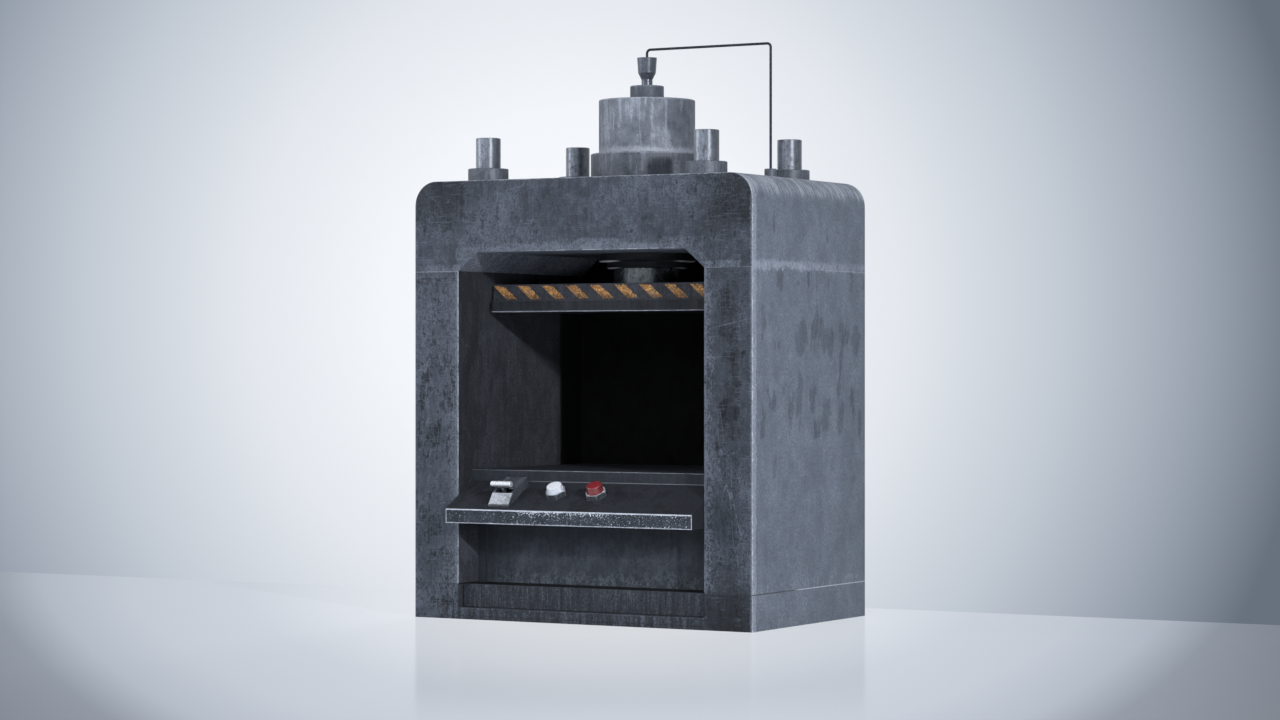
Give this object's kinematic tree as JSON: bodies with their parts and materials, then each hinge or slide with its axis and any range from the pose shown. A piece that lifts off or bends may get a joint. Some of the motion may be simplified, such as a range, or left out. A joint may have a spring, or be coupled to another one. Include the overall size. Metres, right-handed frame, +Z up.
{
  "type": "hydraulic press",
  "caption": "Closed-frame floor-standing hydraulic press with a wide guided platen, a sloping control shelf with a valve lever and two palm buttons, and a cylinder on top.",
  "frame": {"origin": "on the floor, at the centre of the space the press takes up, shelf included", "axes": "+Z up, +X to the operator's right, +Y away from the operator, towards the back"},
  "size_m": [0.9, 0.62, 1.3415],
  "materials": {
    "frame_paint": "worn dark blue-grey paint, mottled, streaked with soot and rubbed pale at the edges",
    "inner_paint": "dark grey paint, dusty and chipped pale along the edges",
    "cylinder_paint": "worn grey-blue paint with pale vertical streaks",
    "machined_steel": "turned bare steel, slightly tarnished",
    "ram_steel": "ground bare steel, bright with a vertical sheen",
    "platen_paint": "near-black worn paint, hazard stripes on the upper platen's front edge",
    "black_oxide": "dark oxide steel with bright worn edges",
    "pipe_steel": "dull grey steel tube",
    "seal_rubber": "matte black rubber",
    "lever_steel": "bright polished steel with fine scratches",
    "housing_paint": "dark grey satin paint, rubbed lighter on the edges",
    "valve_iron": "dark grey cast iron",
    "rotor_steel": "plain machined steel",
    "tank_paint": "plain dark grey paint",
    "white_plastic": "glossy white plastic",
    "red_plastic": "glossy signal red plastic",
    "black_plastic": "plain black plastic",
    "spring_steel": "bright spring wire"
  },
  "bodies": {
    "frame": {"base": "frame_paint", "left_upright": "frame_paint", "right_upright": "frame_paint", "crown": "frame_paint", "back_plate": "inner_paint", "left_bearer": "inner_paint", "right_bearer": "inner_paint", "bed": "inner_paint", "front_panel": "inner_paint", "control_shelf": "inner_paint", "shelf_floor": "inner_paint", "cylinder_barrel": "cylinder_paint", "clamp_flange": "cylinder_paint", "port_block": "cylinder_paint", "lifting_posts": "machined_steel", "post_collars": "machined_steel", "pipe_union": "machined_steel", "crown_fitting": "machined_steel", "gland": "machined_steel", "wiper_ring": "machined_steel", "tie_rods": "machined_steel", "tie_rod_nuts": "machined_steel", "lever_front_plate": "machined_steel", "flange_bolts": "black_oxide", "shelf_screws": "black_oxide", "start_button_bezel": "black_oxide", "stop_button_bezel": "black_oxide", "pressure_pipe": "pipe_steel", "pressure_line": "pipe_steel", "return_line": "pipe_steel", "extend_line": "pipe_steel", "retract_line": "pipe_steel", "rod_seal": "seal_rubber", "lever_pin": "lever_steel", "lever_housing": "housing_paint", "valve_body": "valve_iron", "pump_body": "valve_iron", "motor_casing": "valve_iron", "oil_tank": "tank_paint", "tank_lid": "tank_paint", "start_button_barrel": "black_plastic", "stop_button_barrel": "black_plastic", "start_button_contact_block": "black_plastic", "stop_button_contact_block": "black_plastic", "start_button_spring": "spring_steel", "stop_button_spring": "spring_steel"},
    "ram_assembly": {"ram": "ram_steel", "piston": "ram_steel", "piston_seal": "seal_rubber", "platen": "platen_paint", "tool_plate": "platen_paint", "ram_bolts": "black_oxide", "tool_plate_bolts": "black_oxide"},
    "lever": {"lever_stem": "lever_steel", "lever_grip": "lever_steel"},
    "spool": {"valve_spool": "lever_steel"},
    "start_cap": {"start_button_cap": "white_plastic"},
    "stop_cap": {"stop_button_cap": "red_plastic"},
    "rotor": {"motor_rotor": "rotor_steel", "pump_rotor": "rotor_steel"}
  },
  "joints": [
    {"name": "ram_slide", "type": "slide", "parent": "frame", "child": "ram_assembly", "axis": [0, 0, -1], "range_m": [0, 0.26]},
    {"name": "lever_swing", "type": "hinge", "parent": "frame", "child": "lever", "pos_m": [-0.1885, -0.25714, 0.28015], "axis": [-1, 0, 0], "range_deg": [0, 30]},
    {"name": "spool_slide", "type": "slide", "parent": "frame", "child": "spool", "axis": [0, -0.8746, -0.4848], "range_m": [0, 0.0108]},
    {"name": "start_press", "type": "slide", "parent": "frame", "child": "start_cap", "axis": [0, 0.4848, -0.8746], "range_m": [0, 0.004], "stiffness_N_per_m": 300, "springref_m": -0.01, "deforming": ["start_button_spring"]},
    {"name": "stop_press", "type": "slide", "parent": "frame", "child": "stop_cap", "axis": [0, 0.4848, -0.8746], "range_m": [0, 0.004], "stiffness_N_per_m": 300, "springref_m": -0.01, "deforming": ["stop_button_spring"]},
    {"name": "motor_spin", "type": "hinge", "parent": "frame", "child": "rotor", "pos_m": [0.17, -0.05, 0.152], "axis": [1, 0, 0], "continuous": true}
  ],
  "couplings": [
    {"joint": "spool_slide", "follows": "lever_swing", "m_per_rad": 0.0197}
  ]
}
